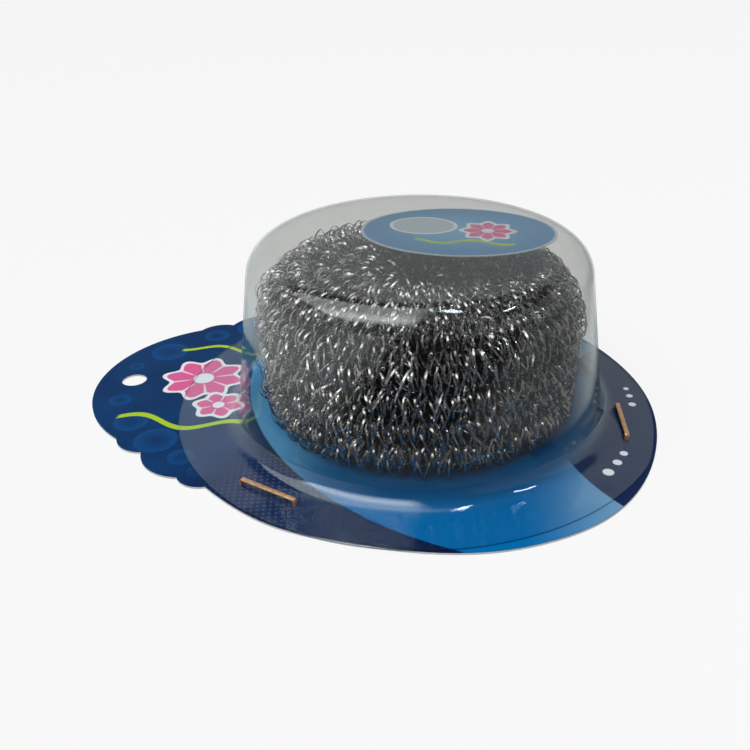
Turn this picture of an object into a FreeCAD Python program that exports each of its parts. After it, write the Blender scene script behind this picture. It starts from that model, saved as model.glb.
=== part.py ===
import FreeCAD, Part
import math
import os

# A wire pot scrubber in its shop pack: a curled-steel pad under a clear domed blister,
# stapled to a printed card that hangs from a hole in its header.
# Millimetres and degrees. The origin is on the dome's axis, at the back of the card.
# +Z points out of the card's front, and the header lies towards -X.

Vector = FreeCAD.Vector

# Printed card
CARD_THICKNESS = 0.6
NOSE_RADIUS = 29.2            # rounded tip of the header
NOSE_CENTRE_X = -43.6
SCALLOP_POINTS = [(-58.8, 24.9), (-51.9, 28.8), (-41.8, 36.0), (-35.4, 38.1)]
SCALLOP_RISE = 0.18           # how far each scallop stands out, as a share of its chord
BODY_POINTS = [               # edge of the body, from the front scallops round to the rear ones
    (-35.4, -38.1), (-27.5, -43.7), (-19.5, -47.6), (-10.0, -49.7), (0.0, -50.7), (10.0, -50.7),
    (20.0, -48.9), (29.0, -45.0), (37.0, -39.2), (43.4, -31.0), (47.6, -21.2), (49.8, -11.0),
    (50.2, -1.0), (48.6, 9.5), (45.4, 18.4), (40.4, 27.4), (33.2, 36.4), (24.0, 44.2),
    (12.5, 49.6), (0.0, 51.7), (-12.0, 50.6), (-23.0, 46.4), (-35.4, 38.1),
]
HANG_HOLE_DIAMETER = 5.5
HANG_HOLE_CENTRE = (-65.2, -1.5)

# Clear blister
SHEET_THICKNESS = 0.4
FLANGE_RADIUS = 51.5
FLANGE_TRIMS = [              # radius and centre of the flatter cuts: opposite the header, and at the rear
    (66.0, (-16.4, -3.0)),
    (56.4, (-6.0, -6.0)),
]
DOME_BASE_RADIUS = 39.2       # where the wall's line meets the flange
DOME_TOP_RADIUS = 34.1        # where the wall's line meets the top
DOME_TOP_Z = 36.5
SHOULDER_RADIUS = 5.6
FOOT_RADIUS = 4.0
DOME_JOIN_RADIUS = 42.9       # the flat flange starts here, just outside the foot

# Oval label under the top of the dome
LABEL_LENGTH = 40.6
LABEL_WIDTH = 28.6
LABEL_THICKNESS = 0.2
LABEL_CENTRE = (7.0, 8.0)
LABEL_TURN = 2.5

# Flat-wire staples: each has its crown's centre and the direction of its crown
STAPLE_CROWN = 12.8
STAPLE_WIRE_WIDTH = 0.9
STAPLE_WIRE_THICKNESS = 0.35
STAPLE_STAND_OFF = 0.6        # gap between the flange and the underside of the crown
STAPLE_BEND = 0.4             # radius of each bend, at the middle of the wire
STAPLE_CLINCH = 4.6           # length of each leg folded behind the card
STAPLE_CLEARANCE = 0.1
STAPLES = {
    "staple_front": ((-23.0, -39.0), -23.1),
    "staple_right": ((43.1, -5.6), -84.4),
    "staple_rear": ((-21.4, 40.2), 28.0),
}

# Curled-steel pad: rows of curls round a barrel, with a dimple where the roll closes
PAD_BOTTOM_Z = 0.9
PAD_BOTTOM_RADIUS = 29.2      # edge of the flat underside
PAD_FOOT_RADIUS = 33.2
PAD_WAIST_RADIUS = 34.2
PAD_WAIST_Z = 17.0
PAD_SHOULDER_RADIUS = 33.4
PAD_TOP_Z = 32.4
PAD_FOOT_ROUND = 4.0
PAD_WAIST_ROUND = 60.0
PAD_SHOULDER_ROUND = 9.5
DIMPLE_RADIUS = 11.0          # at the level of the top
DIMPLE_FLOOR_RADIUS = 3.0
DIMPLE_FLOOR_Z = 26.5
DIMPLE_RIM_ROUND = 6.0
PAD_ROWS = 12                 # from the underside's edge, up and over, to the dimple's floor
PAD_ROW_DEPTH = 1.4           # how deep the grooves between the rows are

flange_top_z = CARD_THICKNESS + SHEET_THICKNESS
dome_inside_top_z = DOME_TOP_Z - SHEET_THICKNESS
wall_slope = (DOME_TOP_RADIUS - DOME_BASE_RADIUS) / (DOME_TOP_Z - flange_top_z)


def line(start, end):
    return Part.LineSegment(start, end).toShape()


def arc(start, through, end):
    return Part.Arc(start, through, end).toShape()


def closed_face(edges):
    return Part.Face(Part.Wire(Part.__sortEdges__(edges)))


def rounded_path(corners, radii):
    """Edges through the corners, with each inner corner rounded by a tangent arc."""
    edges = []
    start = corners[0]
    for before, corner, after, radius in zip(corners, corners[1:], corners[2:], radii):
        towards = (corner - before).normalize()
        away = (after - corner).normalize()
        half_turn = towards.getAngle(away) / 2
        reach = radius * math.tan(half_turn)
        inward = (away - towards).normalize()
        arc_start = corner - towards * reach
        arc_end = corner + away * reach
        arc_middle = corner + inward * (radius / math.cos(half_turn) - radius)
        edges.append(line(start, arc_start))
        edges.append(arc(arc_start, arc_middle, arc_end))
        start = arc_end
    edges.append(line(start, corners[-1]))
    return edges


def revolved(profile_edges):
    """A solid of revolution about Z from closed edges in the XZ plane."""
    return closed_face(profile_edges).revolve(Vector(0, 0, 0), Vector(0, 0, 1), 360)


def body_edge():
    """The card's round body as one smooth curve between the two ends of the header."""
    curve = Part.BSplineCurve()
    curve.interpolate([Vector(x, y, 0) for x, y in BODY_POINTS])
    return curve.toShape()


def header_edges():
    """The header's rounded nose and its scallops, on both sides."""
    first = Vector(*SCALLOP_POINTS[0], 0)
    nose_tip = Vector(NOSE_CENTRE_X - NOSE_RADIUS, 0, 0)
    mirrored_first = Vector(first.x, -first.y, 0)
    edges = [arc(first, nose_tip, mirrored_first)]
    for side in (1, -1):
        points = [Vector(x, side * y, 0) for x, y in SCALLOP_POINTS]
        for start, end in zip(points, points[1:]):
            chord = end - start
            outward = Vector(-chord.y, chord.x, 0) * side
            crest = (start + end) * 0.5 + outward * SCALLOP_RISE
            edges.append(arc(start, crest, end))
    return edges


def staple_placement(name):
    (x, y), direction = STAPLES[name]
    turn = FreeCAD.Rotation(Vector(0, 0, 1), direction)
    return FreeCAD.Placement(Vector(x, y, 0), turn)


def box_about(x_low, x_high, width, z_low, z_high):
    size = (x_high - x_low, width, z_high - z_low)
    return Part.makeBox(*size, Vector(x_low, -width / 2, z_low))


def staple_slots(name):
    """The slits that a staple's legs pass through, and the grooves pressed behind the card."""
    leg_x = (STAPLE_CROWN - STAPLE_WIRE_THICKNESS) / 2
    half = STAPLE_WIRE_THICKNESS / 2 + STAPLE_CLEARANCE
    width = STAPLE_WIRE_WIDTH + 2 * STAPLE_CLEARANCE
    groove_top = STAPLE_WIRE_THICKNESS + STAPLE_CLEARANCE
    groove_end = leg_x - STAPLE_CLINCH - STAPLE_CLEARANCE
    pieces = []
    for side in (1, -1):
        slit_low, slit_high = sorted((side * (leg_x - half), side * (leg_x + half)))
        groove_low, groove_high = sorted((side * groove_end, side * (leg_x + half)))
        pieces.append(box_about(slit_low, slit_high, width, 0, flange_top_z))
        pieces.append(box_about(groove_low, groove_high, width, 0, groove_top))
    slots = pieces[0].fuse(pieces[1:])
    slots.Placement = staple_placement(name)
    return slots


def backing_card():
    outline = closed_face(header_edges() + [body_edge()])
    card = outline.extrude(Vector(0, 0, CARD_THICKNESS))
    hole = Part.makeCylinder(HANG_HOLE_DIAMETER / 2, CARD_THICKNESS, Vector(*HANG_HOLE_CENTRE, 0))
    card = card.cut(hole)
    for name in STAPLES:
        card = card.cut(staple_slots(name))
    return card


def wall_radius(z, inset):
    """Radius of the dome's sloping wall at a height, measured inset from its outer face."""
    sideways = inset * math.sqrt(1 + wall_slope**2)
    return DOME_BASE_RADIUS + wall_slope * (z - flange_top_z) - sideways


def dome_corners(inset, bottom_z, top_z):
    return [
        Vector(DOME_JOIN_RADIUS, 0, bottom_z),
        Vector(wall_radius(bottom_z, inset), 0, bottom_z),
        Vector(wall_radius(top_z, inset), 0, top_z),
        Vector(0, 0, top_z),
    ]


def blister():
    """Thin dome with a rounded foot and shoulder, on a round flat flange with two flatter sides."""
    outer = dome_corners(0, flange_top_z, DOME_TOP_Z)
    inner = dome_corners(SHEET_THICKNESS, CARD_THICKNESS, dome_inside_top_z)
    profile = rounded_path(outer, [FOOT_RADIUS, SHOULDER_RADIUS])
    profile += rounded_path(inner, [FOOT_RADIUS + SHEET_THICKNESS, SHOULDER_RADIUS - SHEET_THICKNESS])
    profile += [line(outer[0], inner[0]), line(outer[-1], inner[-1])]
    dome = revolved(profile)

    flange = Part.makeCylinder(FLANGE_RADIUS, SHEET_THICKNESS)
    for radius, centre in FLANGE_TRIMS:
        flange = flange.common(Part.makeCylinder(radius, SHEET_THICKNESS, Vector(*centre, 0)))
    flange = flange.cut(Part.makeCylinder(DOME_JOIN_RADIUS, SHEET_THICKNESS))
    flange.translate(Vector(0, 0, CARD_THICKNESS))

    shell = dome.fuse(flange).removeSplitter()
    for name in STAPLES:
        shell = shell.cut(staple_slots(name))
    return shell


def top_label():
    centre = Vector(*LABEL_CENTRE, dome_inside_top_z - LABEL_THICKNESS)
    oval = Part.Ellipse(Vector(0, 0, 0), LABEL_LENGTH / 2, LABEL_WIDTH / 2).toShape()
    label = Part.Face(Part.Wire(oval)).extrude(Vector(0, 0, LABEL_THICKNESS))
    label.Placement = FreeCAD.Placement(centre, FreeCAD.Rotation(Vector(0, 0, 1), LABEL_TURN))
    return label


def staple(name):
    """Flat wire bent square, with its legs folded inwards, level with the back of the card."""
    leg_x = (STAPLE_CROWN - STAPLE_WIRE_THICKNESS) / 2
    crown_z = flange_top_z + STAPLE_STAND_OFF + STAPLE_WIRE_THICKNESS / 2
    clinch_z = STAPLE_WIRE_THICKNESS / 2
    tip_x = leg_x - STAPLE_CLINCH
    stations = [(-tip_x, clinch_z), (-leg_x, clinch_z), (-leg_x, crown_z)]
    stations += [(-x, z) for x, z in reversed(stations)]
    corners = [Vector(x, 0, z) for x, z in stations]
    path = Part.Wire(rounded_path(corners, [STAPLE_BEND] * 4))
    section = Part.makePolygon(
        [
            Vector(-tip_x, side_y * STAPLE_WIRE_WIDTH / 2, clinch_z + side_z * STAPLE_WIRE_THICKNESS / 2)
            for side_y, side_z in ((-1, -1), (1, -1), (1, 1), (-1, 1), (-1, -1))
        ]
    )
    wire = path.makePipeShell([section], True, False)
    wire.Placement = staple_placement(name)
    return wire


def rowed_path(edges):
    """Arcs that bulge out to a path in even rows, with a groove between each row and the next."""
    stations = Part.Wire(edges).discretize(Number=2 * PAD_ROWS + 1)
    grooves = [stations[0]]
    for before, middle, after in list(zip(stations, stations[1:], stations[2:]))[1::2]:
        heading = (after - before).normalize()
        grooves.append(middle + Vector(-heading.z, 0, heading.x) * PAD_ROW_DEPTH)
    grooves.append(stations[-1])
    return [arc(start, crest, end) for start, crest, end in zip(grooves, stations[1::2], grooves[1:])]


def scourer_pad():
    """Barrel of rounded rows with a flat underside, and a soft dimple in the middle of its top."""
    corners = [
        Vector(PAD_BOTTOM_RADIUS, 0, PAD_BOTTOM_Z),
        Vector(PAD_FOOT_RADIUS, 0, PAD_BOTTOM_Z),
        Vector(PAD_WAIST_RADIUS, 0, PAD_WAIST_Z),
        Vector(PAD_SHOULDER_RADIUS, 0, PAD_TOP_Z),
        Vector(DIMPLE_RADIUS, 0, PAD_TOP_Z),
        Vector(DIMPLE_FLOOR_RADIUS, 0, DIMPLE_FLOOR_Z),
    ]
    radii = [PAD_FOOT_ROUND, PAD_WAIST_ROUND, PAD_SHOULDER_ROUND, DIMPLE_RIM_ROUND]
    profile = rowed_path(rounded_path(corners, radii))
    floor_middle = Vector(0, 0, DIMPLE_FLOOR_Z)
    bottom_middle = Vector(0, 0, PAD_BOTTOM_Z)
    profile.append(line(corners[-1], floor_middle))
    profile.append(line(floor_middle, bottom_middle))
    profile.append(line(bottom_middle, corners[0]))
    return revolved(profile)


def build():
    os.makedirs("parts", exist_ok=True)
    pieces = {
        "backing_card": backing_card(),
        "blister": blister(),
        "top_label": top_label(),
        "scourer_pad": scourer_pad(),
    }
    for name in STAPLES:
        pieces[name] = staple(name)
    for name, shape in pieces.items():
        box = shape.BoundBox
        print(
            f"{name}: valid {shape.isValid()}, solids {len(shape.Solids)}, volume {shape.Volume:.1f} mm3,"
            f" X {box.XMin:.2f} to {box.XMax:.2f}, Y {box.YMin:.2f} to {box.YMax:.2f},"
            f" Z {box.ZMin:.2f} to {box.ZMax:.2f}"
        )
        shape.exportStep(f"parts/{name}.step")


build()
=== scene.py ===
"""A curled-steel pot scourer in its blister pack, dressed over its CAD frame."""

import math

import bpy
import numpy as np
from mathutils import Matrix, Vector


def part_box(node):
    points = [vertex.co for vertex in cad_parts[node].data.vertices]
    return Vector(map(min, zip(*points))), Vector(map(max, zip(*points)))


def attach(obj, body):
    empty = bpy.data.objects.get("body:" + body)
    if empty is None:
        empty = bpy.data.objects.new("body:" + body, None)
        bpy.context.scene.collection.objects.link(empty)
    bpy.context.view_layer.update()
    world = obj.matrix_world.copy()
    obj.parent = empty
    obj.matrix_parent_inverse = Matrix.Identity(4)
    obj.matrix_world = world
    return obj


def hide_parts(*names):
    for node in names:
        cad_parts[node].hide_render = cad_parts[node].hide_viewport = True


bl_info = {
    "name": "Pot scourer in a blister pack",
    "version": (1, 0, 0),
    "blender": (4, 5, 0),
    "location": "3D View > Sidebar > Scourer pack",
    "description": "Prints the card and label, forms the blister, rounds the staples and winds the scourer",
    "category": "Object",
}

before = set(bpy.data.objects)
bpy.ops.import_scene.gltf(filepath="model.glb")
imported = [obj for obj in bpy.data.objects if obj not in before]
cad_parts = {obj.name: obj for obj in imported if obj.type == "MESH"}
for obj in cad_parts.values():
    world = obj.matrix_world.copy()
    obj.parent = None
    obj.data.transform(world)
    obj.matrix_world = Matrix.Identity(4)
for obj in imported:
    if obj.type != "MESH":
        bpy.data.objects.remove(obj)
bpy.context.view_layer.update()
MM = 0.001

# Lengths below are millimetres from the dome's axis and the back of the card, unless a line says otherwise.
# A pair for step is where a tone starts to rise and where it is full.

# Drawing with ink
DOME_AXIS = (0.0, 0.0)
INK_EDGE = 0.1                   # half the width of the soft edge of a motif
PETAL_DEPTH = 0.14               # how far the petals swing in and out, as a share of the radius
PETAL_OUTLINE = 1.05             # width of the white line round a rosette
PETAL_SEAM = (-0.86, -0.99)      # cosine of the petals' angle, between one petal and the next
PETAL_SEAM_START = 0.5           # where the seams are full, as a share of the radius
PETAL_SEAM_STRENGTH = 0.8
ROSETTE_EYE = 0.3                # share of the radius
WAVE_TAPER = 1.0                 # length over which a wavy line starts and ends

# Print of the card, with a painted shadow and a painted veil in its blue band
PRINTED_LEVEL = (0.38, 0.42)     # height above which the board shows ink
WASH_RISE = (0.35, 0.75)         # of the noise that makes the header uneven
WASH_STRENGTH = 0.3
FIBRE_STRENGTH = 0.25
HEADER_SPOTS = [                 # centre and radius
    ((-64.5, -10.5), 2.4),
    ((-58.5, -18.6), 3.6),
    ((-50.6, -24.6), 4.4),
    ((-43.4, -29.6), 2.6),
    ((-38.8, -33.6), 1.8),
    ((-62.4, 12.6), 4.2),
    ((-54.0, 22.4), 3.0),
    ((-45.8, 28.2), 4.6),
    ((-67.2, 4.6), 1.6),
]
SPOT_EDGE = 0.15
SPOT_HOLLOW = 1.2                # how far out a spot keeps growing stronger, as a share of its radius
SPOT_STRENGTH = 0.8
HEADER_WAVES = [
    {"level": -17.5, "swing": 2.0, "stretch": 0.3, "half": 0.75, "ends": (-62.5, -35.0)},
    {"level": 15.5, "swing": 1.6, "stretch": 0.34, "half": 0.6, "ends": (-60.0, -36.0)},
]
HEADER_ROSETTES = [
    {"centre": (-49.8, 1.2), "radius": 7.6, "petals": 8},
    {"centre": (-42.6, -9.6), "radius": 4.2, "petals": 6},
]
NAVY_SLANT = 0.7
NAVY_EDGE = (-12.0, 8.0)
HALFTONE_PITCH = 1.15
HALFTONE_TURN = math.radians(12)
HALFTONE_DOT = (0.34, 0.22)      # share of the pitch
HALFTONE_LEFT = (-42.0, -26.0)
HALFTONE_RIGHT = (-4.0, -22.0)
HALFTONE_STRENGTH = 0.4
BAND_CENTRE = (30.0, 19.0)
BAND_RADIUS = 71.0
BLOCK_EDGE = 0.2                 # half the width of the soft edge of a large block of ink
# Painted veil: the band turns paler at the left and greyer at the right, standing in for the haze and light
# that the dome mirrors over the card
BAND_LEFT_SLANT = 0.3
BAND_LEFT_FADE = (0.0, -20.0)
BAND_RIGHT_SLANT = 0.2
BAND_RIGHT_FADE = (14.0, 40.0)
BAND_RIGHT_STRENGTH = 0.8
# Painted shadow of the scourer on the blue band: the band darkens towards the pad, except at the left
BAND_SHADE = (46.0, 33.0)        # distance from the axis
BAND_SHADE_LEFT = (-30.0, 0.0)
BAND_SHADE_STRENGTH = 0.7
DUSK_CENTRE = (72.0, -2.0)
DUSK_RADIUS = 44.2
DUSK_INNER_FADE = (36.0, 40.5)   # distance from the axis
EDGE_DOT_RING = 46.0             # distance of the small white dots from the axis
EDGE_DOTS = [(-31.0, 1.1), (-26.0, 0.9), (-21.5, 0.8), (3.0, 0.8), (7.5, 0.7), (11.4, 0.6)]  # bearing, radius
EDGE_DOT_EDGE = 0.12

# Print of the label, from the label's own middle
LABEL_SHADE = (0.1, 0.95)        # share of the way out to the edge
LABEL_RIM = (0.965, 0.98)
LABEL_DISC_CENTRE = (-7.5, 3.4)
LABEL_DISC_SQUASH = 1.35
LABEL_DISC_RADIUS = 7.15
LABEL_DISC_INSIDE = 6.45
LABEL_DISC_EDGE = 0.15
LABEL_WAVE = {"level": -6.4, "swing": 1.0, "stretch": 0.5, "half": 0.6, "ends": (-9.0, 12.0)}
LABEL_ROSETTE = {"centre": (6.0, 0.4), "radius": 4.4, "petals": 8}

# Blister, with thickness, radii and cuts as in the CAD
FLANGE_THICKNESS = 0.4
FLANGE_RINGS = (51.5, 50.5, 49.0, 47.0, 45.0, 43.6)
FLANGE_TRIMS = [(66.0, (-16.4, -3.0)), (56.4, (-6.0, -6.0))]  # radius and centre of the flatter cuts
DOME_BASE_RADIUS = 39.2
DOME_TOP_RADIUS = 34.1
WALL_RINGS = (0.2, 0.32, 0.44, 0.56, 0.68)  # share of the way up the wall
TOP_RINGS = (24.0, 18.0, 12.0, 6.0, 2.0)
BLISTER_SIDES = 160
CUTTER_SIDES = 256
CUTTER_HEIGHT = 200.0
FLAT_LEVEL = (1.2, 4.0)          # the flange's tint gives way to the dome's between these heights
EDGE_LEVEL = (1.3, 1.1)          # only the flange is this low
EDGE_UPRIGHT = (0.4, 0.1)        # upward share of the normal, on the cut edge
MIRROR_STRAIGHT = 0.045          # share of light that a face mirrors, seen straight on
MIRROR_GLANCING = 0.6            # how much more it mirrors at a glancing angle
MIRROR_FALL = 5.0
RIPPLE_SHARE = 0.08              # height of the small dents, as a share of the broad ones

# Pad, as in the CAD
PAD_BOTTOM = 0.9
PAD_UNDERSIDE_RADIUS = 29.2
PAD_FOOT_RADIUS = 33.2
PAD_WAIST = (34.2, 17.0)         # radius and height
PAD_SHOULDER_RADIUS = 33.4
DIMPLE_RIM_RADIUS = 11.0
DIMPLE_FLOOR = (3.0, 26.5)       # radius and height
PAD_FOOT_ROUND = 4.0
PAD_WAIST_ROUND = 60.0
PAD_SHOULDER_ROUND = 9.5
DIMPLE_RIM_ROUND = 6.0
HEADING_SPAN = 0.8               # the outline's heading is read this far to each side

# Curls of the ribbon
CURL_STEPS = 16                  # samples along one curl
RIBBON_CORNERS = 3               # a thin wedge: two edges and a back
CURLS_PER_STRETCH = 9            # curls that bulge and sink together
FEWEST_CURLS = 5
FEWEST_STRETCHES = 3
PHASE_SPREAD = 0.35              # radians
CURL_SIZE_SPREAD = 0.12          # share of the curl
STRETCH_SIZE_SPREAD = 0.08
CURL_SIZE_LIMITS = (0.55, 1.4)
STRETCH_RADIUS_SPREAD = 0.25
CURL_RADIUS_SPREAD = 0.2
STRETCH_HEIGHT_SPREAD = 0.5
CURL_HEIGHT_SPREAD = 0.3
LEAN_SPREAD = 0.25               # share of the curl
BOW_RANGE = (0.2, 0.6)
TILT_RANGE = (0.1, 0.4)
TWIST_SPREAD = 0.3               # radians
LOWEST_CURL = 0.85
NARROWEST_RING = 0.4
NARROWEST_TURN = 4.0             # a lean turns a narrower ring no further than one of this radius
CURL_SIZE_RANGE = (0.7, 1.0)     # share of the largest curl, strand by strand
TOP_CURL_LOSS = 0.25             # curls are smaller by this share where the pad faces up
DEEP_INSET = 2.4                 # the first strand of a row fills in behind the others
SHALLOW_INSET = 0.6
GROOVE_SINK = 0.9                # strands between two rows lie deeper
STRAND_SCATTER = 0.3
PITCH_RANGE = (0.85, 1.2)
TOP_FACING = 0.5                 # upward share of the normal, where curls keep to the top
TOP_CURLS_LEVEL = 30.0
SMALLEST_ROW = 3.0               # radius

# Dark heart behind the curls, painted shade for the shadowed depths of the tangle
HEART_RINGS = 40
HEART_SIDES = 96
HEART_DEPTH = 3.9
HEART_SMALLEST_RADIUS = 0.5
HEART_LEVEL = 1.0                # lowest height

# Camera
CAMERA_PLACE = (21.65, -162.3, 97.3)
CAMERA_PITCH = math.radians(60.8)
CAMERA_TURN = math.radians(7.6)
CAMERA_SHIFT = -0.06             # share of the picture's width
SENSOR_WIDTH = 36.0
CLIP_RANGE = (0.005, 20.0)       # metres

# Lamps and floor, in metres
LAMP_TARGET = (0.0, 0.0, 0.02)
FILL_PLACE = (0.1, -0.45, 0.5)
FILL_SIZE = (0.4, 0.4)
TUBE_PLACES = {"tube_middle": (0.09, 0.06, 0.62), "tube_right": (0.46, 0.0, 0.62)}
TUBE_SIZE = (0.14, 0.03)
FLOOR_SIZE = 6.0
FLOOR_GAP = 0.05                 # millimetres, below the card

# Soft window overhead, as slopes aside and ahead from the pack
HORIZON = 0.05                   # slopes are taken as if no direction were lower than this
WINDOW_LEFT = (-1.25, -0.95)
WINDOW_RIGHT = (0.12, -0.08)
WINDOW_BACK = (0.52, 0.44)
WINDOW_FRONT = (-1.3, -0.4)
WINDOW_BRIGHT_FRONT = (0.0, -0.6)
WINDOW_LEVEL = 0.75              # of the window's brightness, at its back
WINDOW_FRONT_GAIN = 1.15
ROOM_LEVEL = 0.08                # brightness round the window

# Pale walls that gloss shows, as parts of a direction of length 1
WALL_TOP = (0.66, 0.58)
WALL_BACK = (-0.1, 0.6)
WALL_BACK_LEVEL = 0.46
WALL_LEFT = (-0.1, -0.9)
WALL_LEFT_LEVEL = 0.6
WALL_RIGHT = (0.3, 0.9)
WALL_RIGHT_LEVEL = 0.2

# How pale gloss shows the floor, from 0 to 1, and where
FLOOR_LEVEL = 0.03
FLOOR_FRONT = (-95.0, -60.0)
FLOOR_BACK_LEVEL = 0.15
FLOOR_LEFT_NEAR = (-40.0, -62.0)
FLOOR_LEFT_NEAR_LEVEL = 0.45
FLOOR_LEFT_FAR = (-66.0, -90.0)
FLOOR_LEFT_FAR_LEVEL = 0.4
FLOOR_RIGHT = (46.0, 56.0)
FLOOR_RIGHT_LEVEL = 0.18
FLOOR_RIGHT_SLANT = 0.7
FLOOR_RIGHT_BACK = (-55.0, -33.0)
FLOOR_RIGHT_END = (92.0, 62.0)
FLOOR_PATCH_LEVEL = 0.5
FLOOR_EVEN_SHARE = 0.88          # the rest of what the camera sees takes the shadow


def srgb(red, green, blue):
    """The linear colour of an eight-bit one."""
    shares = (red / 255, green / 255, blue / 255)
    return tuple(c / 12.92 if c <= 0.04045 else ((c + 0.055) / 1.055) ** 2.4 for c in shares)


def size_of(name, description, millimetres):
    return bpy.props.FloatProperty(
        name=name, description=description, default=millimetres * MM, min=0.0, unit="LENGTH", precision=5
    )


def colour_of(name, description, red, green, blue):
    return bpy.props.FloatVectorProperty(
        name=name,
        description=description,
        default=srgb(red, green, blue),
        min=0.0,
        max=1.0,
        size=3,
        subtype="COLOR",
    )


class CardSettings(bpy.types.PropertyGroup):
    """Inks and paper of the backing card, with blues that paint the scourer's shadow and the dome's veil."""

    header: colour_of("Header", "Deep blue of the header", 8, 48, 92)
    navy: colour_of("Navy", "Dark ink along the front left edge", 6, 26, 68)
    dots: colour_of("Halftone", "Fine dots over the navy ink", 44, 96, 160)
    band: colour_of("Band", "Bright blue under the dome", 0, 102, 164)
    # Painted shadow: this blue is the band darkened where the scourer shades it
    painted_pad_shadow: colour_of("Deep band", "Bright blue shaded towards the scourer", 6, 90, 152)
    # Painted veil: the two blues below stand in for the dome's mirrored haze, paler at the left and greyer at
    # the right
    painted_veil_left: colour_of("Pale band", "Where the bright blue fades out at the left", 98, 176, 230)
    painted_veil_right: colour_of("Hazy blue", "Where the bright blue turns greyer at the right", 124, 164, 190)
    dusk: colour_of("Dusk", "Slate blue along the right edge", 20, 37, 74)
    spots: colour_of("Spots", "Paler round spots on the header", 16, 74, 130)
    pink: colour_of("Pink", "Petals of the rosettes", 214, 96, 148)
    lime: colour_of("Lime", "Wavy lines", 168, 200, 44)
    white: colour_of("White", "Outlines and small dots", 226, 228, 232)
    paper: colour_of("Paper", "Bare board at the edges and on the back", 186, 188, 190)
    fibre: colour_of("Fibre", "Darker fibres in the bare board", 168, 168, 166)


class LabelSettings(bpy.types.PropertyGroup):
    """Inks of the oval label."""

    rim: colour_of("Rim", "Pale line round the edge", 190, 200, 212)
    deep: colour_of("Deep", "Blue near the edge", 72, 132, 178)
    light: colour_of("Light", "Blue in the middle", 104, 164, 202)
    pale: colour_of("Pale", "Pale disc", 176, 190, 196)
    turn: bpy.props.FloatProperty(
        name="Turn", description="Bearing of the oval", default=math.radians(2.5), unit="ROTATION"
    )


class BlisterSettings(bpy.types.PropertyGroup):
    """The clear formed sheet."""

    thickness: size_of("Thickness", "Thickness of the sheet, thin enough to clear the card", 0.35)
    foot: size_of("Foot", "Radius of the rounded foot of the dome", 4.0)
    shoulder: size_of("Shoulder", "Radius of the rounded shoulder of the dome", 5.6)
    tint: colour_of("Tint", "Colour of light that passes one face of the dome", 241, 241, 240)
    # Painted shade: the cut edge is darkened to draw the dark line that refraction gives along the flange's
    # rim
    edge_painted_line_tint: colour_of("Edge tint", "Colour of light that passes the cut edge of the flange", 182, 188, 192)
    sheen: colour_of("Sheen", "Colour of what the sheet mirrors", 246, 255, 254)
    flat_tint: colour_of("Flat tint", "Colour of light that passes one face of the flange", 253, 255, 255)


class StapleSettings(bpy.types.PropertyGroup):
    """Coppered flat wire."""

    copper: colour_of("Copper", "Coating of the wire", 228, 184, 142)
    tarnish: colour_of("Tarnish", "Duller stretches of the coating", 194, 142, 102)
    edge: size_of("Edge", "Rounding of the wire's edges", 0.07)


class ScourerSettings(bpy.types.PropertyGroup):
    """The rolled-up curly ribbon."""

    steel: colour_of("Steel", "Bright steel of the ribbon", 219, 220, 222)
    worn: colour_of("Worn", "Duller steel in between", 171, 169, 168)
    # Painted shade: the heart's near-black stands in for the shadowed depths of the curls, and its paler
    # patches are painted light
    heart: colour_of("Heart", "Dark inside of the roll", 12, 12, 13)
    heart_painted_light: colour_of("Heart light", "Paler patches inside the roll", 20, 20, 22)
    ribbon: size_of("Ribbon", "Width of the flat ribbon", 0.38)
    gauge: size_of("Gauge", "Thickness of the ribbon", 0.08)
    curl: size_of("Curl", "Radius of the largest curls", 2.5)
    pitch: size_of("Pitch", "Distance from one curl of a strand to the next", 2.1)
    rows: bpy.props.IntProperty(
        name="Rows", description="Rows of curls from the foot up into the dimple", default=12
    )
    strands: bpy.props.IntProperty(
        name="Strands", description="Curled ribbons on each row; the groove after it has one fewer", default=4
    )
    seed: bpy.props.IntProperty(name="Seed", description="Picks the tangle of the curls", default=7)


class StageSettings(bpy.types.PropertyGroup):
    """Floor, light and camera."""

    backdrop: colour_of("Backdrop", "Floor and background", 248, 248, 248)
    lens: bpy.props.FloatProperty(name="Lens", description="Focal length", default=41.52, unit="CAMERA")
    window: bpy.props.FloatProperty(
        name="Window", description="Brightness of the soft window overhead", default=2.6
    )
    fill: bpy.props.FloatProperty(
        name="Fill",
        description="Power of the front lamp, which gloss doesn't show",
        default=1.2,
        unit="POWER",
    )
    tube: bpy.props.FloatProperty(
        name="Tube", description="Power of each tube lamp", default=0.3, unit="POWER"
    )
    tube_tint: colour_of("Tube tint", "Cool white of the tube lamps", 226, 236, 255)


class Tone:
    """A value inside a material. Sums and products of tones add Math nodes."""

    def __init__(self, finish, socket):
        self.finish = finish
        self.socket = socket

    def __add__(self, other):
        return self.finish.math("ADD", self, other)

    def __sub__(self, other):
        return self.finish.math("SUBTRACT", self, other)

    def __rsub__(self, other):
        return self.finish.math("SUBTRACT", other, self)

    def __mul__(self, other):
        return self.finish.math("MULTIPLY", self, other)

    def __truediv__(self, other):
        return self.finish.math("DIVIDE", self, other)

    def __pow__(self, other):
        return self.finish.math("POWER", self, other)

    def __abs__(self):
        return self.finish.math("ABSOLUTE", self)

    __radd__ = __add__
    __rmul__ = __mul__


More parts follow.
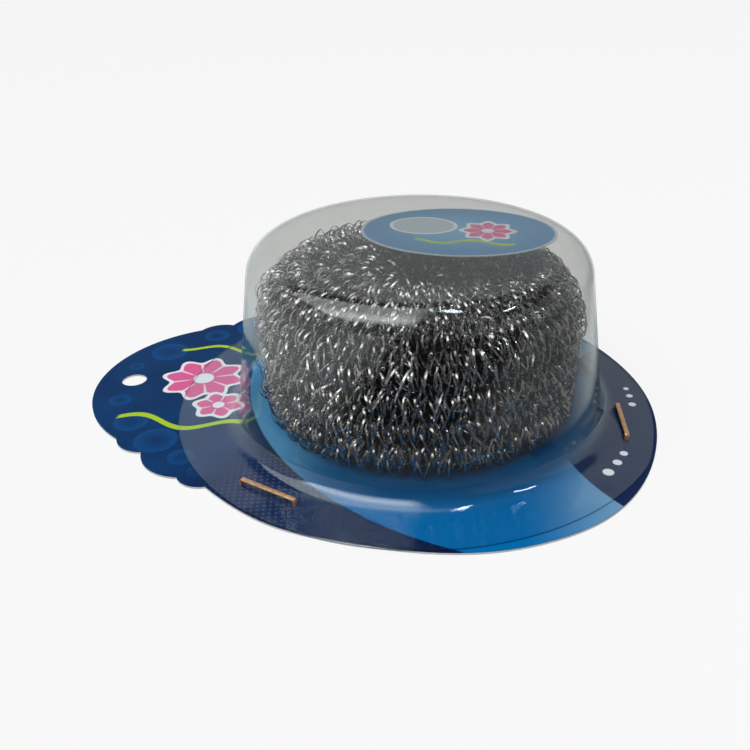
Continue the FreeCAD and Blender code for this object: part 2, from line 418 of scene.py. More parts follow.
class Finish:
    """A node tree of a material or of the world, written with plain expressions."""

    def __init__(self, owner):
        owner.use_nodes = True
        self.owner = owner
        self.tree = owner.node_tree

    def node(self, kind, settings=None, sockets=None, output=None):
        """Adds a node, sets its settings and then its sockets, and returns one of its outputs."""
        made = self.tree.nodes.new(kind)
        for key, value in (settings or {}).items():
            setattr(made, key, value)
        for key, value in (sockets or {}).items():
            self.feed(made, key, value)
        shown = [socket for socket in made.outputs if socket.enabled]
        if output is not None:
            shown = [socket for socket in shown if socket.name == output]
        return Tone(self, shown[0])

    def feed(self, made, key, value):
        """Links a tone to a socket, or sets the socket to a plain value."""
        if isinstance(key, int):
            socket = made.inputs[key]
        else:
            socket = next(s for s in made.inputs if s.enabled and s.name == key)
        if isinstance(value, Tone):
            self.tree.links.new(value.socket, socket)
        elif socket.type == "RGBA":
            socket.default_value = (*value[:3], 1.0)
        else:
            socket.default_value = value

    def math(self, operation, first, second=None):
        sockets = {0: first} if second is None else {0: first, 1: second}
        return self.node("ShaderNodeMath", {"operation": operation}, sockets)

    def step(self, value, low, high):
        """Rises smoothly from 0 at low to 1 at high; low may be the larger."""
        return self.node(
            "ShaderNodeMapRange",
            {"interpolation_type": "SMOOTHSTEP"},
            {"Value": value, "From Min": low, "From Max": high},
        )

    def within(self, distance, limit, soft):
        """1 up to a limit and 0 past it, with a soft edge of a half width."""
        return self.step(distance, limit + soft, limit - soft)

    def mix(self, mask, below, above):
        return self.node("ShaderNodeMix", {"data_type": "RGBA"}, {"Factor": mask, "A": below, "B": above})

    def mix_shader(self, mask, below, above):
        return self.node("ShaderNodeMixShader", None, {0: mask, 1: below, 2: above})

    def axes(self, vector):
        made = self.tree.nodes.new("ShaderNodeSeparateXYZ")
        self.feed(made, "Vector", vector)
        return [Tone(self, socket) for socket in made.outputs]

    def place(self, centre=(0.0, 0.0, 0.0), turn=0.0):
        """Object coordinates in millimetres, measured from a centre and turned about Z."""
        local = self.node("ShaderNodeTexCoord", output="Object")
        return self.node(
            "ShaderNodeMapping",
            {"vector_type": "TEXTURE"},
            {
                "Vector": local,
                "Location": [c * MM for c in centre],
                "Rotation": (0.0, 0.0, turn),
                "Scale": (MM, MM, MM),
            },
        )

    def reach(self, x, y, centre):
        """Distance in the plane from a centre."""
        aside = x - centre[0]
        along = y - centre[1]
        return (aside * aside + along * along) ** 0.5

    def noise(self, vector, scale, detail=2.0):
        sockets = {"Vector": vector, "Scale": scale, "Detail": detail}
        return self.node("ShaderNodeTexNoise", None, sockets, "Fac")

    def rosette(self, below, x, y, pink, white, centre, radius, petals):
        """A round blossom with a white outline, white seams and a white eye."""
        angle = self.math("ARCTAN2", y - centre[1], x - centre[0])
        lobes = self.math("COSINE", angle * petals)
        away = self.reach(x, y, centre)
        edge = away - radius * (1 + PETAL_DEPTH * lobes)
        eye = radius * ROSETTE_EYE
        petal = self.within(edge, 0.0, INK_EDGE)
        seams = self.step(lobes, *PETAL_SEAM) * self.step(away, eye, radius * PETAL_SEAM_START)
        tone = self.mix(self.within(edge, PETAL_OUTLINE, INK_EDGE), below, white)
        tone = self.mix(petal, tone, pink)
        tone = self.mix(seams * petal * PETAL_SEAM_STRENGTH, tone, white)
        return self.mix(self.within(away, eye, INK_EDGE), tone, white)

    def wave(self, below, x, y, lime, level, swing, stretch, half, ends):
        """A wavy line along X between two ends."""
        middle = level + swing * self.math("SINE", x * stretch)
        mask = self.within(abs(y - middle), half, INK_EDGE)
        mask = mask * self.step(x, ends[0], ends[0] + WAVE_TAPER)
        mask = mask * self.step(x, ends[1], ends[1] - WAVE_TAPER)
        return self.mix(mask, below, lime)

    def coat(self, **values):
        """Sets or links the sockets of the material's own Principled shader; _ stands for a space."""
        made = self.tree.nodes["Principled BSDF"]
        for key, value in values.items():
            self.feed(made, key.replace("_", " "), value)
        return self.owner

    def bump(self, height, strength, distance):
        sockets = {"Strength": strength, "Distance": distance, "Height": height}
        return self.node("ShaderNodeBump", None, sockets)


def new_finish(name):
    return Finish(bpy.data.materials.new(name))


def dress(piece, material):
    """Gives a piece its only material."""
    piece.data.materials.clear()
    piece.data.materials.append(material)


def header_ink(finish, inks, x, y):
    """Deep blue with an uneven wash and paler round spots."""
    flat = finish.node("ShaderNodeCombineXYZ", None, {"X": x, "Y": y})
    wash = finish.step(finish.noise(flat, scale=0.07), *WASH_RISE)
    ink = finish.mix(wash * WASH_STRENGTH, inks.header, inks.spots)
    for centre, radius in HEADER_SPOTS:
        away = finish.reach(x, y, centre)
        fill = finish.within(away, radius, SPOT_EDGE) * finish.step(away, 0.0, radius * SPOT_HOLLOW)
        ink = finish.mix(fill * SPOT_STRENGTH, ink, inks.spots)
    return ink


def navy_ink(finish, inks, x, y, ink):
    """Dark blue along the front left edge, with faint halftone dots in its left half."""
    navy = finish.step(x * NAVY_SLANT - y * NAVY_SLANT, *NAVY_EDGE)
    ink = finish.mix(navy, ink, inks.navy)
    cells = finish.node(
        "ShaderNodeTexVoronoi",
        {"voronoi_dimensions": "2D"},
        {"Vector": finish.place(turn=HALFTONE_TURN), "Scale": 1 / HALFTONE_PITCH, "Randomness": 0.0},
        "Distance",
    )
    dotted = navy * finish.step(x, *HALFTONE_LEFT) * finish.step(x, *HALFTONE_RIGHT)
    return finish.mix(finish.step(cells, *HALFTONE_DOT) * dotted * HALFTONE_STRENGTH, ink, inks.dots)


def band_ink(finish, inks, x, y, ink):
    """Bright blue under the dome, darkened round the scourer as a painted shadow, paler at the left and
    greyer at the right as a painted veil, and slate blue along the right edge.
    """
    from_axis = finish.reach(x, y, DOME_AXIS)
    # left and right mask the painted veil of the dome's haze
    left = finish.step(x - y * BAND_LEFT_SLANT, *BAND_LEFT_FADE)
    right = finish.step(x + y * BAND_RIGHT_SLANT, *BAND_RIGHT_FADE)
    # shade masks the painted shadow of the scourer on the band
    shade = finish.step(from_axis, *BAND_SHADE) * finish.step(x, *BAND_SHADE_LEFT)
    band = finish.mix(left, inks.band, inks.painted_veil_left)
    band = finish.mix(right * BAND_RIGHT_STRENGTH, band, inks.painted_veil_right)
    band = finish.mix(shade * BAND_SHADE_STRENGTH, band, inks.painted_pad_shadow)
    ink = finish.mix(finish.within(finish.reach(x, y, BAND_CENTRE), BAND_RADIUS, BLOCK_EDGE), ink, band)
    dusk = finish.within(finish.reach(x, y, DUSK_CENTRE), DUSK_RADIUS, BLOCK_EDGE)
    return finish.mix(dusk * finish.step(from_axis, *DUSK_INNER_FADE), ink, inks.dusk)


def card_finish(inks):
    """Paper board, printed on its front only; its blue band also carries a painted shadow and a painted veil.
    """
    finish = new_finish("printed_card")
    place = finish.place()
    x, y, z = finish.axes(place)
    ink = header_ink(finish, inks, x, y)
    ink = navy_ink(finish, inks, x, y, ink)
    ink = band_ink(finish, inks, x, y, ink)
    for wave in HEADER_WAVES:
        ink = finish.wave(ink, x, y, inks.lime, **wave)
    for rosette in HEADER_ROSETTES:
        ink = finish.rosette(ink, x, y, inks.pink, inks.white, **rosette)
    for bearing, radius in EDGE_DOTS:
        turn = math.radians(bearing)
        centre = (EDGE_DOT_RING * math.cos(turn), EDGE_DOT_RING * math.sin(turn))
        ink = finish.mix(finish.within(finish.reach(x, y, centre), radius, EDGE_DOT_EDGE), ink, inks.white)

    printed = finish.step(z, *PRINTED_LEVEL)
    fibres = finish.noise(place, scale=1.5, detail=4.0)
    board = finish.mix(fibres * FIBRE_STRENGTH, inks.paper, inks.fibre)
    return finish.coat(
        Base_Color=finish.mix(printed, board, ink),
        Roughness=0.8 - 0.3 * printed,
        Specular_IOR_Level=0.05,
    )


def label_finish(inks, card):
    """An oval that deepens towards a pale rim, with a disc, a rosette and a wavy line."""
    low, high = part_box("top_label")
    centre = (low + high) / 2 / MM
    half_length = (high.x - low.x) / 2 / MM
    half_width = (high.y - low.y) / 2 / MM
    finish = new_finish("label_print")
    x, y = finish.axes(finish.place((centre.x, centre.y, 0.0), inks.turn))[:2]
    along = x / half_length
    across = y / half_width
    out = (along * along + across * across) ** 0.5
    ink = finish.mix(finish.step(out, *LABEL_SHADE), inks.light, inks.deep)
    disc = finish.reach(x, y * LABEL_DISC_SQUASH, LABEL_DISC_CENTRE)
    ink = finish.mix(finish.within(disc, LABEL_DISC_RADIUS, LABEL_DISC_EDGE), ink, card.white)
    ink = finish.mix(finish.within(disc, LABEL_DISC_INSIDE, LABEL_DISC_EDGE), ink, inks.pale)
    ink = finish.wave(ink, x, y, card.lime, **LABEL_WAVE)
    ink = finish.rosette(ink, x, y, card.pink, card.white, **LABEL_ROSETTE)
    ink = finish.mix(finish.step(out, *LABEL_RIM), ink, inks.rim)
    return finish.coat(Base_Color=ink, Roughness=0.45)


class SCOURERPACK_OT_card(bpy.types.Operator):
    """Prints the backing card, which keeps its CAD shape"""

    bl_idname = "scourer_pack.card"
    bl_label = "Card"

    def execute(self, context):
        dress(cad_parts["backing_card"], card_finish(context.scene.scourer_card))
        return {"FINISHED"}


class SCOURERPACK_OT_label(bpy.types.Operator):
    """Prints the oval label under the top of the dome, which keeps its CAD shape"""

    bl_idname = "scourer_pack.label"
    bl_label = "Label"

    def execute(self, context):
        print_of_label = label_finish(context.scene.scourer_label, context.scene.scourer_card)
        dress(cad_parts["top_label"], print_of_label)
        return {"FINISHED"}


def deselect_all():
    if bpy.context.mode != "OBJECT":
        bpy.ops.object.mode_set(mode="OBJECT")
    bpy.ops.object.select_all(action="DESELECT")


def make_active(piece):
    deselect_all()
    piece.select_set(True)
    bpy.context.view_layer.objects.active = piece


def apply_modifier(piece, kind, **settings):
    """Adds a modifier to the active piece, sets it in the order given and applies it."""
    bpy.ops.object.modifier_add(type=kind)
    made = piece.modifiers[-1]
    for key, value in settings.items():
        setattr(made, key, value)
    bpy.ops.object.modifier_apply(modifier=made.name)


def bend(start, corner, end, radius, steps):
    """Points of a rounded corner between two straight runs, as (radius, height) pairs."""
    start, corner, end = Vector(start), Vector(corner), Vector(end)
    towards = (corner - start).normalized()
    away = (end - corner).normalized()
    half_turn = towards.angle(away) / 2
    reach = radius * math.tan(half_turn)
    centre = corner + (away - towards).normalized() * radius / math.cos(half_turn)
    first = corner - towards * reach - centre
    side = 1 if towards.cross(away) > 0 else -1
    turns = [side * 2 * half_turn * step / steps for step in range(steps + 1)]
    return [centre + Matrix.Rotation(turn, 2) @ first for turn in turns]


def lathe(name, rings, vertices):
    """A round skin through rings of (radius, height), extruded ring by ring and left in edit mode."""
    deselect_all()
    radius, height = rings[0]
    bpy.ops.mesh.primitive_circle_add(vertices=vertices, radius=radius, location=(0.0, 0.0, height))
    piece = bpy.context.object
    piece.name = piece.data.name = name
    bpy.ops.object.transform_apply(location=True, rotation=True, scale=True)
    bpy.ops.object.mode_set(mode="EDIT")
    bpy.ops.mesh.select_all(action="SELECT")
    for new_radius, new_height in rings[1:]:
        rise = (0.0, 0.0, new_height - height)
        bpy.ops.mesh.extrude_region_move(TRANSFORM_OT_translate={"value": rise})
        share = new_radius / radius
        bpy.ops.transform.resize(value=(share, share, 1.0), center_override=(0.0, 0.0, new_height))
        radius, height = new_radius, new_height
    return piece


def close_skin(both_ends):
    """Fills the last ring of a lathed skin, and the first too where asked, and turns its faces outwards."""
    bpy.ops.mesh.edge_face_add()
    if both_ends:
        bpy.ops.mesh.select_all(action="DESELECT")
        bpy.ops.mesh.select_non_manifold()
        bpy.ops.mesh.edge_face_add()
    bpy.ops.mesh.select_all(action="SELECT")
    bpy.ops.mesh.normals_make_consistent(inside=False)
    bpy.ops.object.mode_set(mode="OBJECT")


def blister_rings(sheet):
    """The outer face of the blister, from the flange's edge in and up to the middle of the top."""
    low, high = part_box("blister")
    flange_top, dome_top = low.z + FLANGE_THICKNESS * MM, high.z
    foot, shoulder = (DOME_BASE_RADIUS * MM, flange_top), (DOME_TOP_RADIUS * MM, dome_top)
    rings = [(radius * MM, flange_top) for radius in FLANGE_RINGS]
    rings += bend(rings[0], foot, shoulder, sheet.foot, steps=6)
    rings += [Vector(foot).lerp(Vector(shoulder), share) for share in WALL_RINGS]
    rings += bend(foot, shoulder, (0.0, dome_top), sheet.shoulder, steps=12)
    rings += [(radius * MM, dome_top) for radius in TOP_RINGS]
    return rings


def trim_flange(piece, radius, centre):
    """Cuts one flatter side on the round flange."""
    deselect_all()
    bpy.ops.mesh.primitive_cylinder_add(
        vertices=CUTTER_SIDES,
        radius=radius * MM,
        depth=CUTTER_HEIGHT * MM,
        location=(centre[0] * MM, centre[1] * MM, 0.0),
    )
    cutter = bpy.context.object
    bpy.ops.object.transform_apply(location=True, rotation=True, scale=True)
    make_active(piece)
    apply_modifier(piece, "BOOLEAN", operation="INTERSECT", solver="EXACT", object=cutter)
    bpy.data.objects.remove(cutter)


def sheet_finish(sheet):
    """Clear thin sheet: light passes straight through, and each face mirrors more at a glancing angle; the
    cut edge passes less, as a painted dark line.
    """
    finish = new_finish("clear_sheet")
    place = finish.place()
    broad = finish.noise(place, scale=0.07, detail=1.0)
    small = finish.noise(place, scale=0.3, detail=1.0)
    dents = finish.bump(broad + small * RIPPLE_SHARE, strength=0.3, distance=0.0012)
    facing = finish.node("ShaderNodeLayerWeight", None, {"Blend": 0.5}, "Facing")
    mirror = MIRROR_STRAIGHT + MIRROR_GLANCING * facing**MIRROR_FALL
    height = finish.axes(place)[2]
    upright = finish.axes(finish.node("ShaderNodeTexCoord", output="Normal"))[2]
    # cut_edge masks the painted dark line along the flange's rim
    cut_edge = finish.step(abs(upright), *EDGE_UPRIGHT) * finish.step(height, *EDGE_LEVEL)
    flange = finish.node("ShaderNodeBsdfTransparent", None, {"Color": sheet.flat_tint})
    edge = finish.node("ShaderNodeBsdfTransparent", None, {"Color": sheet.edge_painted_line_tint})
    dome = finish.node("ShaderNodeBsdfTransparent", None, {"Color": sheet.tint})
    clear = finish.mix_shader(finish.step(height, *FLAT_LEVEL), flange, dome)
    clear = finish.mix_shader(cut_edge, clear, edge)
    gloss = finish.node(
        "ShaderNodeBsdfGlossy", None, {"Color": sheet.sheen, "Roughness": 0.06, "Normal": dents}
    )
    mixed = finish.mix_shader(mirror, clear, gloss)
    finish.feed(finish.tree.nodes["Material Output"], "Surface", mixed)
    return finish.owner


class SCOURERPACK_OT_blister(bpy.types.Operator):
    """Draws the clear dome and its flange from a circle, ring by ring"""

    bl_idname = "scourer_pack.blister"
    bl_label = "Blister"

    def execute(self, context):
        sheet = context.scene.scourer_blister
        piece = lathe("clear_blister", blister_rings(sheet), BLISTER_SIDES)
        close_skin(both_ends=False)
        apply_modifier(piece, "SOLIDIFY", thickness=sheet.thickness, offset=-1.0, use_even_offset=True)
        for radius, centre in FLANGE_TRIMS:
            trim_flange(piece, radius, centre)
        bpy.ops.object.shade_smooth_by_angle(angle=math.radians(40))
        dress(piece, sheet_finish(sheet))
        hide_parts("blister")
        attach(piece, "blister")
        return {"FINISHED"}


def copper_finish(wire):
    """Coppered wire with duller stretches."""
    finish = new_finish("coppered_wire")
    grain = finish.noise(finish.place(), scale=1.2, detail=3.0)
    tone = finish.mix(finish.step(grain, 0.35, 0.7), wire.copper, wire.tarnish)
    return finish.coat(Base_Color=tone, Metallic=0.7, Roughness=0.32 + 0.15 * grain)


class SCOURERPACK_OT_staples(bpy.types.Operator):
    """Copies the CAD staples, merges their faces and rounds the edges of the wire"""

    bl_idname = "scourer_pack.staples"
    bl_label = "Staples"

    def execute(self, context):
        wire = context.scene.scourer_staples
        copper = copper_finish(wire)
        for name in ("staple_front", "staple_right", "staple_rear"):
            make_active(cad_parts[name])
            bpy.ops.object.duplicate()
            piece = bpy.context.object
            piece.name = piece.data.name = name.replace("staple", "coppered_staple")
            bpy.ops.object.mode_set(mode="EDIT")
            bpy.ops.mesh.select_all(action="SELECT")
            bpy.ops.mesh.remove_doubles(threshold=0.01 * MM)
            bpy.ops.mesh.dissolve_limited(angle_limit=math.radians(2))
            bpy.ops.object.mode_set(mode="OBJECT")
            apply_modifier(
                piece,
                "BEVEL",
                width=wire.edge,
                segments=2,
                limit_method="ANGLE",
                angle_limit=math.radians(50),
            )
            bpy.ops.object.shade_smooth_by_angle(angle=math.radians(35))
            dress(piece, copper)
            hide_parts(name)
            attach(piece, "blister")
        return {"FINISHED"}


def pad_outline():
    """The pad's outside, from under its foot over into the dimple, as (radius, height) in millimetres."""
    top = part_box("scourer_pad")[1].z / MM
    underside = (PAD_UNDERSIDE_RADIUS, PAD_BOTTOM)
    foot = (PAD_FOOT_RADIUS, PAD_BOTTOM)
    shoulder = (PAD_SHOULDER_RADIUS, top)
    rim = (DIMPLE_RIM_RADIUS, top)
    points = [underside]
    points += bend(underside, foot, PAD_WAIST, PAD_FOOT_ROUND, steps=6)
    points += bend(foot, PAD_WAIST, shoulder, PAD_WAIST_ROUND, steps=4)
    points += bend(PAD_WAIST, shoulder, rim, PAD_SHOULDER_ROUND, steps=10)
    points += bend(shoulder, rim, DIMPLE_FLOOR, DIMPLE_RIM_ROUND, steps=6)
    points += [DIMPLE_FLOOR]
    return np.array([tuple(p) for p in points], float)


def even_stations(points, count):
    """Evenly spaced stations along the outline, with the outward normal at each."""
    runs = np.linalg.norm(np.diff(points, axis=0), axis=1)
    along = np.concatenate([[0.0], np.cumsum(runs)])
    wanted = np.linspace(0.0, along[-1], count)

    def at(distance):
        return np.stack([np.interp(distance, along, points[:, axis]) for axis in (0, 1)], -1)

    ahead = np.minimum(wanted + HEADING_SPAN, along[-1])
    behind = np.maximum(wanted - HEADING_SPAN, 0.0)
    heading = at(ahead) - at(behind)
    heading /= np.linalg.norm(heading, axis=1, keepdims=True)
    return at(wanted), np.stack([heading[:, 1], -heading[:, 0]], -1)


def drift(random, knots, count, spread):
    """A closed smooth random curve with a number of knots, at a number of samples."""
    values = random.normal(0.0, spread, knots)
    where = np.linspace(0.0, knots, count, endpoint=False)
    left = where.astype(int) % knots
    share = where - where.astype(int)
    share = share * share * (3 - 2 * share)
    return values[left] * (1 - share) + values[(left + 1) % knots] * share


def unit(vectors):
    """The same directions with length 1."""
    return vectors / (np.linalg.norm(vectors, axis=1, keepdims=True) + 1e-9)


def curl_row(random, centre, normal, curl, side, pitch, ribbon, gauge):
    """One ribbon, curled like a spring round a ring of the pad: its vertices and four-sided faces."""
    loops = max(int(2 * math.pi * centre[0] / pitch), FEWEST_CURLS)
    broad = max(loops // CURLS_PER_STRETCH, FEWEST_STRETCHES)
    count = loops * CURL_STEPS

    def wander(knots, spread):
        return drift(random, knots, count, spread)

    bearing = np.linspace(0.0, 2 * math.pi, count) + random.uniform(0.0, 2 * math.pi)
    phase = np.linspace(0.0, 2 * math.pi * loops, count) * -side + wander(loops, PHASE_SPREAD)
    share = 1 + wander(loops, CURL_SIZE_SPREAD) + wander(broad, STRETCH_SIZE_SPREAD)
    size = curl * np.clip(share, *CURL_SIZE_LIMITS)
    radial = centre[0] + wander(broad, STRETCH_RADIUS_SPREAD) + wander(loops, CURL_RADIUS_SPREAD)
    height = centre[1] + wander(broad, STRETCH_HEIGHT_SPREAD) + wander(loops, CURL_HEIGHT_SPREAD)
    bow = wander(loops, LEAN_SPREAD) - random.uniform(*BOW_RANGE) * side
    tilt = wander(loops, LEAN_SPREAD) + random.uniform(*TILT_RANGE) * side

    out = size * np.cos(phase)
    up = size * np.sin(phase)
    aside = up * tilt + out * bow
    level = np.maximum(height + out * normal[1] + up * normal[0], LOWEST_CURL)
    ring = np.maximum(radial + out * normal[0] - up * normal[1], NARROWEST_RING)
    turn = bearing + aside / np.maximum(ring, NARROWEST_TURN)
    path = np.stack([ring * np.cos(turn), ring * np.sin(turn), level], -1)

    axis = np.stack([radial * np.cos(bearing), radial * np.sin(bearing), height], -1)
    forward = unit(np.gradient(path, axis=0))
    outward = path - axis
    outward = unit(outward - forward * np.sum(outward * forward, axis=1, keepdims=True))
    across = np.cross(forward, outward)
    twist = wander(loops, TWIST_SPREAD)[:, None]
    flat = across * np.cos(twist) + outward * np.sin(twist)
    back = outward * np.cos(twist) - across * np.sin(twist)

    corners = [path - flat * ribbon / 2, path + flat * ribbon / 2, path - back * gauge]
    vertices = np.stack(corners, 1).reshape(-1, 3)
    first = np.arange(count - 1)[:, None] * RIBBON_CORNERS
    after = first + RIBBON_CORNERS
    sides = ((0, 1), (1, 2), (2, 0))
    faces = [np.concatenate([first + a, first + b, after + b, after + a], 1) for a, b in sides]
    return vertices, np.concatenate(faces), count


def ribbons(name, rows):
    """One mesh from several curled ribbons, each closed at both ends."""
    points, quads, caps, start = [], [], [], 0
    for vertices, faces, count in rows:
        points.append(vertices)
        quads.append(faces + start)
        last = start + RIBBON_CORNERS * (count - 1)
        caps += [(start, start + 2, start + 1), (last, last + 1, last + 2)]
        start += len(vertices)
    mesh = bpy.data.meshes.new(name)
    mesh.from_pydata(np.concatenate(points) * MM, [], np.concatenate(quads).tolist() + caps)
    mesh.shade_smooth()
    ends = np.empty(len(mesh.edges) * 2, int)
    mesh.edges.foreach_get("vertices", ends)
    lengthwise = np.abs(ends[0::2] - ends[1::2]) == RIBBON_CORNERS
    mesh.attributes.new("sharp_edge", "BOOLEAN", "EDGE").data.foreach_set("value", lengthwise)
    piece = bpy.data.objects.new(name, mesh)
    bpy.context.collection.objects.link(piece)
    return piece


def steel_finish(pad):
    """Bright drawn steel with duller, slightly warmer stretches."""
    finish = new_finish("curled_steel")
    place = finish.place()
    patches = finish.step(finish.noise(place, scale=0.12), 0.35, 0.65)
    streaks = finish.noise(place, scale=0.9)
    tone = finish.mix(patches * 0.5 + streaks * 0.5, pad.steel, pad.worn)
    return finish.coat(Base_Color=tone, Metallic=1.0, Roughness=0.17 + 0.16 * streaks)


def heart_finish(pad):
    """Painted shade inside the roll, where the tangle lies in shadow, with patches of painted light where
    deeper curls catch a little.
    """
    finish = new_finish("painted_shade_heart")
    mottle = finish.noise(finish.place(), scale=0.6)
    tone = finish.mix(finish.step(mottle, 0.4, 0.7), pad.heart, pad.heart_painted_light)
    return finish.coat(Base_Color=tone, Metallic=0.3, Roughness=0.6 + 0.2 * mottle)


def strands_at(random, pad, crest, normal, sunk, strands):
    """Curled ribbons that share one ring of the pad, leaning to either side by turns."""
    curl, pitch, ribbon, gauge = pad.curl / MM, pad.pitch / MM, pad.ribbon / MM, pad.gauge / MM
    upper = max(normal[1], 0.0)
    lowest = TOP_CURLS_LEVEL if upper > TOP_FACING else 0.0
    crest = np.maximum(crest, (SMALLEST_ROW, lowest))
    made = []
    for strand in range(strands):
        size = curl * random.uniform(*CURL_SIZE_RANGE) * (1 - TOP_CURL_LOSS * upper)
        inset = size + sunk + (DEEP_INSET if strand == 0 else SHALLOW_INSET)
        centre = crest - normal * inset + random.normal(0.0, STRAND_SCATTER, 2)
        centre[0] = max(centre[0], SMALLEST_ROW)
        spacing = pitch * random.uniform(*PITCH_RANGE)
        side = 1 - 2 * (strand % 2)
        made.append(curl_row(random, centre, normal, size, side, spacing, ribbon, gauge))
    return made


def heart_rings(outline):
    """The dark heart's outside, a little way in from the pad's."""
    points, normals = even_stations(outline, HEART_RINGS)
    inner = points - normals * HEART_DEPTH
    return [(max(r, HEART_SMALLEST_RADIUS) * MM, max(z, HEART_LEVEL) * MM) for r, z in inner]


class SCOURERPACK_OT_scourer(bpy.types.Operator):
    """Winds rows of curled ribbon round the heart of the pad, whose dark colour is painted shade"""

    bl_idname = "scourer_pack.scourer"
    bl_label = "Scourer"

    def execute(self, context):
        pad = context.scene.scourer_pad
        random = np.random.default_rng(pad.seed)
        outline = pad_outline()
        steel = steel_finish(pad)

        stations, normals = even_stations(outline, 2 * pad.rows + 1)
        for number in range(pad.rows):
            row, groove = 2 * number + 1, 2 * number + 2
            curls = strands_at(random, pad, stations[row], normals[row], 0.0, pad.strands)
            curls += strands_at(random, pad, stations[groove], normals[groove], GROOVE_SINK, pad.strands - 1)
            piece = ribbons(f"scourer_row_{number + 1}", curls)
            dress(piece, steel)
            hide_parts("scourer_pad")
            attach(piece, "scourer")

        core = lathe("scourer_heart", heart_rings(outline), HEART_SIDES)
        close_skin(both_ends=True)
        bpy.ops.object.shade_smooth_by_angle(angle=math.radians(40))
        dress(core, heart_finish(pad))
        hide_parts("scourer_pad")
        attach(core, "scourer")
        return {"FINISHED"}


def add_lamp(name, place, size, power):
    deselect_all()
    bpy.ops.object.light_add(type="AREA", location=place)
    lamp = bpy.context.object
    lamp.name = lamp.data.name = name
    lamp.data.shape = "RECTANGLE"
    lamp.data.size, lamp.data.size_y = size
    lamp.data.energy = power
    lamp.rotation_euler = (Vector(LAMP_TARGET) - Vector(place)).to_track_quat("-Z", "Y").to_euler()
    return lamp


def shiny_rays(finish):
    return finish.math(
        "MAXIMUM",
        finish.node("ShaderNodeLightPath", output="Is Glossy Ray"),
        finish.node("ShaderNodeLightPath", output="Is Transmission Ray"),
    )


def light_world(stage):
    """A pale backdrop, which gloss shows less of in front, and a soft window that lights the pack."""
    world = bpy.data.worlds.new("studio")
    bpy.context.scene.world = world
    finish = Finish(world)
    x, y, z = finish.axes(finish.node("ShaderNodeTexCoord", output="Generated"))
    height = finish.math("MAXIMUM", z, HORIZON)
    aside, ahead = x / height, y / height
    window = finish.step(aside, *WINDOW_LEFT) * finish.step(aside, *WINDOW_RIGHT)
    window = window * finish.step(ahead, *WINDOW_BACK) * finish.step(ahead, *WINDOW_FRONT)
    window = window * (WINDOW_LEVEL + WINDOW_FRONT_GAIN * finish.step(ahead, *WINDOW_BRIGHT_FRONT))
    room = ROOM_LEVEL + window * stage.window
    light = finish.node("ShaderNodeCombineColor", None, {"Red": room, "Green": room, "Blue": room})

    walls = WALL_BACK_LEVEL * finish.step(y, *WALL_BACK)
    walls = walls + WALL_LEFT_LEVEL * finish.step(x, *WALL_LEFT)
    walls = walls + WALL_RIGHT_LEVEL * finish.step(x, *WALL_RIGHT)
    pale = finish.step(z, *WALL_TOP) * walls
    seen = finish.node("ShaderNodeLightPath", output="Is Camera Ray")
    tone = finish.mix(finish.math("MAXIMUM", seen, shiny_rays(finish) * pale), light, stage.backdrop)
    finish.feed(world.node_tree.nodes["Background"], "Color", tone)


def floor_finish(stage):
    """Pale floor with a soft shadow to the camera; gloss shows it dark, but pale at the left and right."""
    finish = new_finish("pale_floor")
    x, y = finish.axes(finish.place())[:2]
    seen = finish.node("ShaderNodeLightPath", output="Is Camera Ray")
    back = finish.step(y, *FLOOR_FRONT)
    left = FLOOR_LEFT_NEAR_LEVEL * finish.step(x, *FLOOR_LEFT_NEAR)
    left = left + FLOOR_LEFT_FAR_LEVEL * finish.step(x, *FLOOR_LEFT_FAR)
    patch = finish.step(y - FLOOR_RIGHT_SLANT * x, *FLOOR_RIGHT_BACK) * finish.step(x, *FLOOR_RIGHT_END)
    right = (FLOOR_RIGHT_LEVEL + FLOOR_PATCH_LEVEL * patch) * finish.step(x, *FLOOR_RIGHT)
    lit = FLOOR_LEVEL + left + back * (FLOOR_BACK_LEVEL + right)
    glow = finish.mix(finish.math("MAXIMUM", seen, lit), (0.0, 0.0, 0.0), stage.backdrop)
    matt = finish.node("ShaderNodeBsdfDiffuse", None, {"Color": stage.backdrop})
    even = finish.node("ShaderNodeEmission", None, {"Color": glow, "Strength": 1.0})
    mixed = finish.mix_shader(seen * FLOOR_EVEN_SHARE + shiny_rays(finish), matt, even)
    finish.feed(finish.tree.nodes["Material Output"], "Surface", mixed)
    return finish.owner


def add_camera(stage):
    """A camera where the photographer's was."""
    deselect_all()
    bpy.ops.object.camera_add(
        location=[c * MM for c in CAMERA_PLACE],
        rotation=(CAMERA_PITCH, 0.0, CAMERA_TURN),
    )
    camera = bpy.context.object
    camera.name = "photo_camera"
    camera.data.lens = stage.lens
    camera.data.sensor_width = SENSOR_WIDTH
    camera.data.shift_x = CAMERA_SHIFT
    camera.data.clip_start, camera.data.clip_end = CLIP_RANGE
    return camera


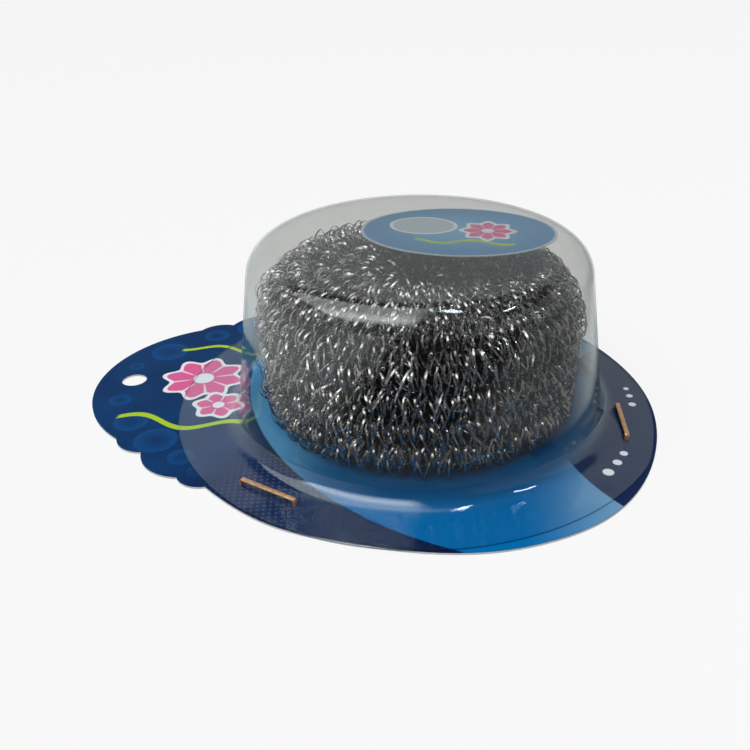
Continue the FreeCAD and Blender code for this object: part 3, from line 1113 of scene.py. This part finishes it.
class SCOURERPACK_OT_stage(bpy.types.Operator):
    """Sets the floor, the soft light and the camera"""

    bl_idname = "scourer_pack.stage"
    bl_label = "Stage"

    def execute(self, context):
        stage = context.scene.scourer_stage
        context.scene.view_settings.view_transform = "Standard"
        context.scene.camera = add_camera(stage)

        deselect_all()
        bpy.ops.mesh.primitive_plane_add(size=FLOOR_SIZE, location=(0.0, 0.0, -FLOOR_GAP * MM))
        floor = context.object
        floor.name = "floor"
        floor.data.materials.append(floor_finish(stage))

        light_world(stage)
        fill = add_lamp("front_fill", FILL_PLACE, FILL_SIZE, stage.fill)
        fill.visible_glossy = False
        for name, place in TUBE_PLACES.items():
            tube = add_lamp(name, place, TUBE_SIZE, stage.tube)
            tube.data.color = stage.tube_tint
        return {"FINISHED"}


class SCOURERPACK_PT_pieces(bpy.types.Panel):
    """Lists the pieces of the pack"""

    bl_idname = "SCOURERPACK_PT_pieces"
    bl_label = "Scourer pack"
    bl_space_type = "VIEW_3D"
    bl_region_type = "UI"
    bl_category = "Scourer pack"

    def draw(self, context):
        for operator in OPERATORS:
            self.layout.operator(operator.bl_idname)


SETTINGS = {
    "scourer_card": CardSettings,
    "scourer_label": LabelSettings,
    "scourer_blister": BlisterSettings,
    "scourer_staples": StapleSettings,
    "scourer_pad": ScourerSettings,
    "scourer_stage": StageSettings,
}
OPERATORS = [
    SCOURERPACK_OT_stage,
    SCOURERPACK_OT_card,
    SCOURERPACK_OT_label,
    SCOURERPACK_OT_staples,
    SCOURERPACK_OT_scourer,
    SCOURERPACK_OT_blister,
]


def register():
    for name, group in SETTINGS.items():
        bpy.utils.register_class(group)
        setattr(bpy.types.Scene, name, bpy.props.PointerProperty(type=group))
    for operator in OPERATORS:
        bpy.utils.register_class(operator)
    bpy.utils.register_class(SCOURERPACK_PT_pieces)


def unregister():
    bpy.utils.unregister_class(SCOURERPACK_PT_pieces)
    for operator in reversed(OPERATORS):
        bpy.utils.unregister_class(operator)
    for name, group in SETTINGS.items():
        delattr(bpy.types.Scene, name)
        bpy.utils.unregister_class(group)


def main():
    register()
    bpy.ops.scourer_pack.stage()
    bpy.ops.scourer_pack.card()
    bpy.ops.scourer_pack.label()
    bpy.ops.scourer_pack.staples()
    bpy.ops.scourer_pack.scourer()
    bpy.ops.scourer_pack.blister()


if __name__ == "__main__":
    main()
